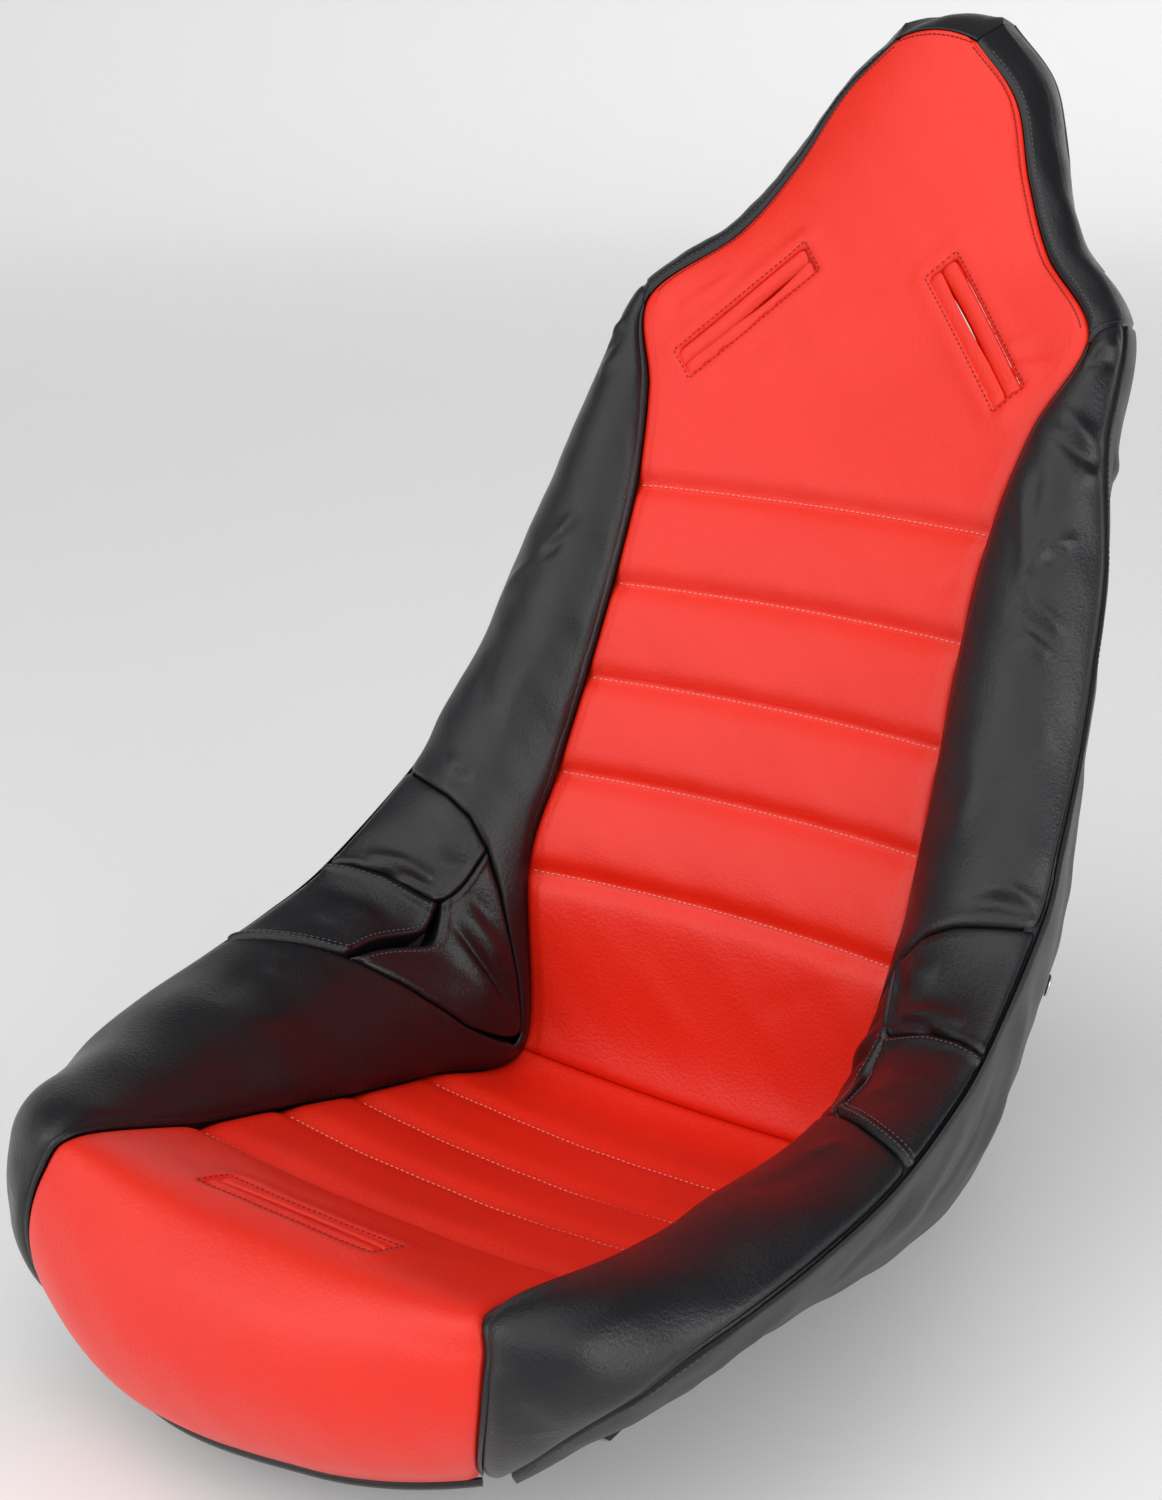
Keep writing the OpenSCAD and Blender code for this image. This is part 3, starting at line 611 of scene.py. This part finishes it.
# skirt and head band
skirtFacts = {"thick": 1.6, "folds": [
    (14, 2.2, (9.6, 2.15), (9.2, 2.5), (8.3, 2.7)), (10, -1.8, (9.1, 2.15), (8.5, 2.4), (7.8, 2.6)),
    (12, 2.0, (8.6, 2.1), (7.9, 2.3), (6.8, 2.45)), (9, -1.6, (7.6, 2.12), (6.8, 2.25), (6.0, 2.4)),
    (12, 1.8, (11.8, 2.3), (11.0, 2.55), (10.2, 2.7)), (10, -1.4, (12.4, 2.5), (11.6, 2.7)),
    (9, 1.6, (14.9, 2.3), (14.9, 2.8)), (6, -1.8, (14.75, 2.2), (14.75, 2.85)),
    (12, 1.4, (5.6, 2.3), (4.6, 2.5), (3.6, 2.5))]}


def thin(s, t):
    return skirtFacts["thick"] / 1000 + 0 * s


for sign, hand in hands:
    bm = padGrid(lambda u, v: (0.3 + u * 15.68, (2.003 + v * 0.997) * sign), 330, 36,
                 seamed({"west": (5, 2.2), "east": (2, 0.9)}, mirrored(skirtFacts["folds"], sign),
                        (70, 1.0, sign + 4)), thin)
    finishPiece("skirt_" + hand, bm, paintedShadeSkirtVinyl, ["skirt_" + hand])
    bm = padGrid(lambda u, v: (16.02 + u * 3.98, (1.006 + v * 1.994) * sign), 100, 50,
                 seamed({"west": (7, 3.0), "low": (5, 2.0), "east": (3, 1.2)}, [], (60, 0.8, sign + 5)),
                 thin)
    finishPiece("headBand_" + hand, bm, blackVinyl, ["head_band_" + hand])
bm = padGrid(lambda u, v: (20.0 + u * 0.995, (v * 2 - 1) * 2.99), 24, 90, seamed({"high": (3, 1.2)}), thin)
finishPiece("headCrown", bm, blackVinyl, ["head_crown"])


# black binding tape folded over the front edge
hemTape = {"from": 0.0, "to": 0.19, "proud": 2.4}


def tapeHeight(s, t, near, place):
    across = s / hemTape["to"] * 2 - 1
    return hemTape["proud"] / 1000 * np.sqrt(np.clip(1 - across ** 2, 0, 1))


bm = padGrid(lambda u, v: (hemTape["from"] + u * (hemTape["to"] - hemTape["from"]), (v * 2 - 1) * 1.02), 10,
             140,
             tapeHeight,
             lambda s, t: 0.0015 + 0 * s)
finishPiece("frontHem", bm, blackVinyl, ["front_hem"])

# turned-in seam allowance, which closes the gaps between panels from behind
def allowance(name, cut, longSteps, wideSteps, material=None):
    bm = padGrid(cut, longSteps, wideSteps, lambda s, t, near, place: -0.0016 + 0 * s, lambda s,
                 t: 0.0032 + 0 * s)
    finishPiece(name, bm, material or blackVinyl, [])


for sign, hand in hands:
    allowance("rimSeamAllowance_" + hand, lambda u, v: (0.3 + u * 15.75, (1.95 + v * 0.13) * sign), 300, 2)
    allowance("shoulderSeamAllowance_" + hand, lambda u, v: (15.9 + u * 0.2, (1.03 + v * 1.92) * sign), 2,
              50)
    allowance("innerSeamAllowance_" + hand, lambda u, v: (0.3 + u * 15.6, (1.005 + v * 0.045) * sign), 300,
              2)

# harness slot lips
skinRows = bmesh.new()
bmesh.ops.create_grid(skinRows, x_segments=60, y_segments=220, size=0.5)
for v in skinRows.verts:
    v.co = skinAt(3 + (v.co.y + 0.5) * 15, (v.co.x + 0.5) * 2 - 1)
skinTree = BVHTree.FromBMesh(skinRows)
skinRows.free()


def onWindow(window, sign, p, q):
    x, y = windowPoint(window, sign, p, q)
    start, aim = windowRay(window, x, y)
    spot, normal, _, _ = skinTree.ray_cast(start, aim)
    return spot, -normal if normal.dot(aim) > 0 else normal


def gape(u, reach):
    # how far the lips of a shoulder slot stand apart, most near one end
    return max(0, math.sin(math.pi * min(1, (1 - u) * reach))) ** 1.2


lipFacts = {"steps": (60, 14), "thick": 2.0,
            "gap": {("shoulder", 1): lambda u: 0.3 + 1.35 * gape(u, 1.35),
                    ("shoulder", -1): lambda u: 0.3 + 2.4 * gape(u, 1.6),
                    ("crotch", 1): lambda u: 0.4 + 1.0 * math.sin(math.pi * u)}}


def makeLips(name, kind, sign, node, lean):
    window = windows[kind]
    halfLong, halfWide = window["half"]
    bm = bmesh.new()
    for side in (1, -1):
        lip = bmesh.new()
        bmesh.ops.create_grid(lip, x_segments=lipFacts["steps"][1], y_segments=lipFacts["steps"][0],
                              size=0.5)
        under = []
        stamp = lip.verts.layers.int.new("row")
        for v in lip.verts:
            v[stamp] = len(under)
            w, u = v.co.x + 0.5, v.co.y + 0.5
            p = (u * 2 - 1) * (halfLong + 0.5)
            along01 = 1 - u if sign == 1 else u
            gap = lipFacts["gap"][(kind, sign)](along01)
            mouth = lean * math.sin(math.pi * u) + side * gap
            q = side * (halfWide + 1.5) * (1 - w) + mouth * w
            spot, normal = onWindow(window, sign, p, q)
            rise = -3.0 + 3.4 * math.sin(min(w / 0.45, 1) * math.pi / 2) + 0.5 * math.sin(math.pi * w)
            if w > 0.72:
                rise -= 4.2 * (1 - math.sqrt(1 - ((w - 0.72) / 0.28) ** 2))
            ends = min(u, 1 - u) * 2 * halfLong
            rise -= 2.2 * (1 - min(ends / 5, 1)) ** 2
            v.co = spot + normal * (rise / 1000)
            under.append(spot - normal * 0.0075)
        made = bmesh.ops.extrude_face_region(lip, geom=list(lip.faces))
        for v in made["geom"]:
            if isinstance(v, bmesh.types.BMVert):
                v.co = under[v[stamp]]
        bmesh.ops.recalc_face_normals(lip, faces=lip.faces)
        spare = bpy.data.meshes.new("lip")
        lip.to_mesh(spare)
        lip.free()
        bm.from_mesh(spare)
        bpy.data.meshes.remove(spare)
    return finishPiece(name, bm, redVinyl, [node])


makeLips("shoulderSlotLips_right", "shoulder", 1, "shoulder_slot_right", 0.0)
makeLips("shoulderSlotLips_left", "shoulder", -1, "shoulder_slot_left", -1.5)
makeLips("crotchSlotLips", "crotch", 1, "crotch_slot", 2.0)

# millimetres, but the last two are in metres: half a window stitch and how proud it lies
stitching = {"pitch": 3.9, "long": 2.9, "thick": 0.95, "sink": 0.1, "windowPitch": 3.6,
             "windowHalf": 0.0014, "lift": 0.0002}


def sew(name, material, seamLines, pitch=None):
    # seamLines: piece, points as station and across, and how far to the left of them in millimetres
    pitch = pitch or stitching["pitch"]
    bm = bmesh.new()
    trees = {}
    for piece, points, off in seamLines:
        if piece.name not in trees:
            trees[piece.name] = BVHTree.FromPolygons([v.co for v in piece.data.vertices],
                                                     [p.vertices[:] for p in piece.data.polygons])
        p = np.array(points, float)
        fine = np.linspace(0, len(p) - 1, 40 * len(p))
        st = np.stack([np.interp(fine, range(len(p)), p[:, k]) for k in (0, 1)], 1)
        place, face = skinAt(st[:, 0], st[:, 1]), facingAt(st[:, 0], st[:, 1])
        if off:
            place = place + unit(np.cross(face, unit(np.gradient(place, axis=0)))) * off / 1000
        run = np.concatenate([[0], np.cumsum(np.linalg.norm(np.diff(place, axis=0), axis=1))])
        count = int(run[-1] * 1000 / pitch)
        spare = (pitch - stitching["long"]) / 2
        for i in range(count):
            ends = []
            for at in (i * pitch + spare, (i + 1) * pitch - spare):
                where = [np.interp(at / 1000, run, place[:, k]) for k in range(3)]
                out = Vector([np.interp(at / 1000, run, face[:, k]) for k in range(3)]).normalized()
                spot, normal, _, _ = trees[piece.name].ray_cast(Vector(where) + out * 0.03, -out, 0.06)
                ends.append((spot, out))
            if ends[0][0] is None or ends[1][0] is None:
                continue
            middle, way = (ends[0][0] + ends[1][0]) / 2, ends[1][0] - ends[0][0]
            if way.length > 0.006:
                continue
            x = way.normalized()
            z = (ends[0][1] - x * ends[0][1].dot(x)).normalized()
            turn = Matrix((x, z.cross(x), z)).transposed().to_4x4()
            thick = stitching["thick"] / 2000
            sized = Matrix.Diagonal((stitching["long"] / 2000 * 1.12, thick, thick, 1))
            sit = middle + z * (stitching["thick"] / 2 - stitching["sink"]) / 1000
            bmesh.ops.create_icosphere(bm, subdivisions=1, radius=1,
                                       matrix=Matrix.Translation(sit) @ turn @ sized)
    return finishPiece(name, bm, material, [], turn=False)


def windowLine(kind, sign, out):
    window = windows[kind]
    halfLong, halfWide = window["half"][0] + out, window["half"][1] + out
    corners = [(-halfLong, -halfWide), (halfLong, -halfWide), (halfLong, halfWide), (-halfLong, halfWide)]
    sewn = []
    for a, b in zip(corners, corners[1:] + corners[:1]):
        sewn.append([windowPoint(window, sign, a[0] + (b[0] - a[0]) * u, a[1] + (b[1] - a[1]) * u)
                     for u in np.linspace(0, 1, 30)])
    return sewn


def sewWindow(name, kind, sign, piece, out):
    tree = BVHTree.FromPolygons([v.co for v in piece.data.vertices],
                                [p.vertices[:] for p in piece.data.polygons])
    window, bm = windows[kind], bmesh.new()
    for line in windowLine(kind, sign, out):
        flat = np.array(line)
        run = np.concatenate([[0], np.cumsum(np.linalg.norm(np.diff(flat, axis=0), axis=1))]) * 1000
        count = max(int(run[-1] / stitching["windowPitch"]), 1)
        for i in range(count):
            ends = []
            for at in ((i + 0.14) * run[-1] / count, (i + 0.86) * run[-1] / count):
                x, y = np.interp(at, run, flat[:, 0]), np.interp(at, run, flat[:, 1])
                start, aim = windowRay(window, x, y)
                spot, normal, _, _ = tree.ray_cast(start, aim)
                ends.append((spot, normal))
            if ends[0][0] is None or ends[1][0] is None:
                continue
            x = (ends[1][0] - ends[0][0]).normalized()
            z = (ends[0][1] - x * ends[0][1].dot(x)).normalized()
            turn = Matrix((x, z.cross(x), z)).transposed().to_4x4()
            thick = stitching["thick"] / 2000
            sized = Matrix.Diagonal((stitching["windowHalf"], thick, thick, 1))
            sit = Matrix.Translation((ends[0][0] + ends[1][0]) / 2 + z * stitching["lift"])
            bmesh.ops.create_icosphere(bm, subdivisions=1, radius=1, matrix=sit @ turn @ sized)
    return finishPiece(name, bm, paintedHoleShadeRedThread, [], turn=False)


pieces = {piece.name: piece for piece in bpy.data.objects}
sew("channelStitches", paintedHighlightRedThread,
    [(back, [(c, t) for t in np.linspace(-0.985, 0.985, 21)], 0) for c in backPanel["channels"]]
    + [(seat, [(c, t) for t in np.linspace(-0.97, 0.97, 21)], 0) for c in seatPanel["channels"]])
headEdge = [(16.1 + 3.9 * u, 1.0) for u in np.linspace(0, 1, 30)]
headTop = [(19.86, t) for t in np.linspace(-0.85, 0.85, 12)]
sew("headEdgeStitches", paintedHoleShadeRedThread,
    [(back, headEdge, 4.5), (back, [(s, -t) for s, t in headEdge], -4.5), (back, headTop, 0)], 3.3)
sewWindow("shoulderSlotStitches_right", "shoulder", 1, back, 2.6)
sewWindow("shoulderSlotStitches_left", "shoulder", -1, back, 2.6)
sewWindow("crotchSlotStitches", "crotch", 1, seat, 2.6)
sideSeams = {"headBand": [(16.1 + 3.7 * u, 1.0) for u in np.linspace(0, 1, 30)],
             "thighSeamOut": thighSeamOut,
             "gussetTop": gussetTop, "slotOuter": slotOuter, "slotInner": slotInner, "crossSeam": crossSeam,
             "rim": [(0.4 + 15.5 * u, 2.0) for u in np.linspace(0, 1, 120)]}
for sign, hand in hands:
    turned = {name: [(s, t * sign) for s, t in line] for name, line in sideSeams.items()}
    part = {name: pieces[name + "_" + hand] for name in ("headBand", "gussetUpper", "gussetMiddle",
                                                         "gussetLower", "skirt")}
    sew("sidePanelStitches_" + hand, paintedHighlightGreyThread, [
        (part["headBand"], turned["headBand"], -4.8 * sign),
        (part["gussetMiddle"], turned["thighSeamOut"], 3.2 * sign),
        (part["gussetMiddle"], turned["thighSeamOut"], 7.4 * sign),
        (part["gussetMiddle"], turned["gussetTop"], -4.5 * sign),
        (part["gussetMiddle"], turned["slotOuter"], -5.0 * sign),
        (part["gussetLower"], turned["slotInner"], 5.0 * sign),
        (part["gussetLower"], turned["crossSeam"], -3.2 * sign),
        (part["gussetUpper"], turned["crossSeam"], 3.2 * sign),
        (part["skirt"], turned["rim"], -4.0 * sign)])

# moulded shell behind the padding, with its seat bosses
shell = {"wall": 4.0, "gap": 0.5, "bossRadius": 14, "bossHeight": 12, "bosses": [(-45, 77.5), (45, 54.5)],
         "bossAcross": 95, "lapSlot": {"stations": (8.0, 9.2), "across": (1.52, 1.68)}}


def inLapSlot(s, t):
    stations, across = shell["lapSlot"]["stations"], shell["lapSlot"]["across"]
    return (s > stations[0]) & (s < stations[1]) & (np.abs(t) > across[0]) & (np.abs(t) < across[1])


bm = padGrid(lambda u, v: (0.5 + u * 20.42, (v * 2 - 1) * 2.93), 300, 150,
             lambda s, t, near, place: -foamDepth(s, t) - shell["gap"] / 1000,
             lambda s, t: foamDepth(s, t) + (shell["gap"] + shell["wall"]) / 1000,
             shoulderCuts + [(windows["crotch"], 1)],
             inLapSlot)
for x in (-shell["bossAcross"], shell["bossAcross"]):
    for y, z in shell["bosses"]:
        bmesh.ops.create_cone(bm, cap_ends=True, segments=48, radius1=shell["bossRadius"] / 1000,
                              radius2=shell["bossRadius"] / 1000,
                              depth=shell["bossHeight"] / 1000,
                              matrix=Matrix.Translation((x / 1000, y / 1000,
                                                         (z - shell["bossHeight"] / 2) / 1000)))
finishPiece("mouldedShell", bm, shellPlastic, ["seat_shell"])

# sleeve behind the head, hem folded over at its mouth
sleeve = {"from": 16.6, "to": 20.98, "thick": 1.8, "hem": 0.42, "hemLift": 1.3, "belly": 7.0, "off": 3,
          "pucker": 0.0012}
bm = bmesh.new()
bmesh.ops.create_grid(bm, x_segments=80, y_segments=90, size=0.5)
stamp = bm.verts.layers.int.new("row")
uw = np.array([(v.co.y + 0.5, v.co.x + 0.5) for v in bm.verts])
station = sleeve["from"] + (sleeve["to"] - sleeve["from"]) * uw[:, 0]
west, east = skinAt(station, -2.97 + 0 * station), skinAt(station, 2.97 + 0 * station)
spots = west + (east - west) * uw[:, 1:]
across, closing = uw[:, 1] * 2 - 1, np.minimum(1, (1 - uw[:, 0]) * 8)
puckers = sleeve["pucker"] * np.sin(9 * across + 3 * uw[:, 0]) * np.exp(-((uw[:, 0] - 0.15) / 0.2) ** 2)
hemmed = sleeve["hemLift"] / 1000 * (1 - np.clip((station - sleeve["from"] - sleeve["hem"]) / 0.05, 0, 1))
bulge = (sleeve["off"] + sleeve["belly"] * (1 - across ** 2)) / 1000
spots[:, 1] += (bulge + unevenness(spots, 60, 1.2, 2.0) + puckers + hemmed) * closing
inner = spots - np.stack([0 * across, sleeve["thick"] / 1000 + hemmed * 0.5, 0 * across], 1)
for i, v in enumerate(bm.verts):
    v.co, v[stamp] = spots[i], i
made = bmesh.ops.extrude_face_region(bm, geom=list(bm.faces))
for v in made["geom"]:
    if isinstance(v, bmesh.types.BMVert):
        v.co = inner[v[stamp]]
finishPiece("headSleeve", bm, blackVinyl, ["head_pocket_back"])

# press studs that hold the skirt to the shell
stud = {"at": (10.3, 2.86), "profile": [(0, 2.3), (2.6, 2.2), (4.4, 1.8), (5.2, 1.2), (5.9, 1.5),
                                        (6.9, 1.4), (7.5, 0.7), (7.4, 0.0), (6.5, -0.3)],
        "proud": 1.7}
bm = bmesh.new()
for sign in (1, -1):
    ring = bmesh.new()
    points = [ring.verts.new((r / 1000, 0, z / 1000)) for r, z in stud["profile"]]
    edges = [ring.edges.new(pair) for pair in zip(points, points[1:])]
    bmesh.ops.spin(ring, geom=points + edges, cent=(0, 0, 0), axis=(0, 0, 1), angle=2 * math.pi, steps=48,
                   use_merge=True)
    bmesh.ops.remove_doubles(ring, verts=ring.verts, dist=1e-6)
    at, out = Vector(skinAt(stud["at"][0], stud["at"][1] * sign)), Vector(facingAt(stud["at"][0],
                                                                                   stud["at"][1] * sign))
    turn = out.to_track_quat("Z", "Y").to_matrix().to_4x4()
    bmesh.ops.transform(ring, matrix=Matrix.Translation(at + out * stud["proud"] / 1000) @ turn,
                        verts=ring.verts)
    bmesh.ops.holes_fill(ring, edges=ring.edges)
    bmesh.ops.recalc_face_normals(ring, faces=ring.faces)
    spare = bpy.data.meshes.new("stud")
    ring.to_mesh(spare)
    ring.free()
    bm.from_mesh(spare)
    bpy.data.meshes.remove(spare)
finishPiece("pressStuds", bm, nickel, ["snap_caps"])

for nodeName, material in (("mount_rail_left", railPlastic), ("mount_rail_right", railPlastic),
                           ("snap_posts", nickel),
                           ("rail_bolts", zincSteel), ("rail_nuts", zincSteel), ("thread_inserts", brass)):
    node = frame["nodes"][nodeName]
    node.data.materials.clear()
    node.data.materials.append(material)

# studio
sweep = {"floorRadius": 6.5, "bend": 2.0, "wallTop": 3.2, "colour": "#F2F2F2", "glow": 0.06}
bm = bmesh.new()
r, bend = sweep["floorRadius"], sweep["bend"]
rim = [bm.verts.new((0, 0, 0)), bm.verts.new((r, 0, 0))]
rim += [bm.verts.new((r + bend * math.sin(a), 0, bend * (1 - math.cos(a))))
        for a in np.linspace(0, math.pi / 2, 12)[1:]]
rim.append(bm.verts.new((r + bend, 0, sweep["wallTop"])))
edges = [bm.edges.new(pair) for pair in zip(rim, rim[1:])]
bmesh.ops.spin(bm, geom=rim + edges, cent=(0, 0, 0), axis=(0, 0, 1), angle=2 * math.pi, steps=96,
               use_merge=True)
bmesh.ops.remove_doubles(bm, verts=bm.verts, dist=1e-5)
bmesh.ops.recalc_face_normals(bm, faces=bm.faces)
mesh = bpy.data.meshes.new("studioFloor")
bm.to_mesh(mesh)
bm.free()
for face in mesh.polygons:
    face.use_smooth = True
studioFloor = bpy.data.objects.new("studioFloor", mesh)
bpy.context.scene.collection.objects.link(studioFloor)
mesh.materials.append(plainMaterial("backlitWhiteAcrylic", sweep["colour"], Roughness=0.9,
                                     Emission_Color=linear(sweep["colour"]),
                                    Emission_Strength=sweep["glow"]))

studio = {
    "softboxes": [  # name, place, width, height, watts
        ("keyLight", (-0.97, -1.91, 0.9), 1.2, 1.4, 10.5),
        ("topLight", (0.0, 0.2, 2.4), 1.6, 1.0, 5),
        ("sideLight", (1.9, -0.34, 0.92), 1.2, 1.3, 17),
    ],
    "aim": (0, 0.1, 0.3),
    "sun": {"azimuth": -2, "elevation": 42, "angle": 96, "strength": 2.2},
    "sky": "#FFFFFF",
    "skyStrength": 0.14,
}
sun = bpy.data.lights.new("wideSoftKey", "SUN")
sun.angle, sun.energy = math.radians(studio["sun"]["angle"]), studio["sun"]["strength"]
holder = bpy.data.objects.new("wideSoftKey", sun)
holder.rotation_euler = (math.radians(90 - studio["sun"]["elevation"]), 0,
                         math.radians(studio["sun"]["azimuth"]))
bpy.context.scene.collection.objects.link(holder)
for lampName, place, wide, high, watts in studio["softboxes"]:
    lamp = bpy.data.lights.new(lampName, "AREA")
    lamp.shape = "RECTANGLE"
    lamp.size, lamp.size_y, lamp.energy = wide, high, watts
    holder = bpy.data.objects.new(lampName, lamp)
    holder.location = place
    holder.rotation_euler = (Vector(studio["aim"]) - Vector(place)).to_track_quat("-Z", "Y").to_euler()
    bpy.context.scene.collection.objects.link(holder)
world = bpy.data.worlds.new("paleStudio")
world.use_nodes = True
world.node_tree.nodes["Background"].inputs[0].default_value = linear(studio["sky"])
world.node_tree.nodes["Background"].inputs[1].default_value = studio["skyStrength"]
bpy.context.scene.world = world

bpy.context.scene.view_settings.view_transform = "Standard"
view = {"place": (0.654, -0.922, 0.751), "azimuth": 35.0, "elevation": 19.5, "lens": 50, "sensor": 36}
eye = bpy.data.cameras.new("studioCamera")
eye.lens, eye.sensor_width, eye.sensor_fit = view["lens"], view["sensor"], "AUTO"
camera = bpy.data.objects.new("studioCamera", eye)
camera.location = view["place"]
camera.rotation_euler = (math.radians(90 - view["elevation"]), 0, math.radians(view["azimuth"]))
bpy.context.scene.collection.objects.link(camera)
bpy.context.scene.camera = camera

print("studio and camera ready")
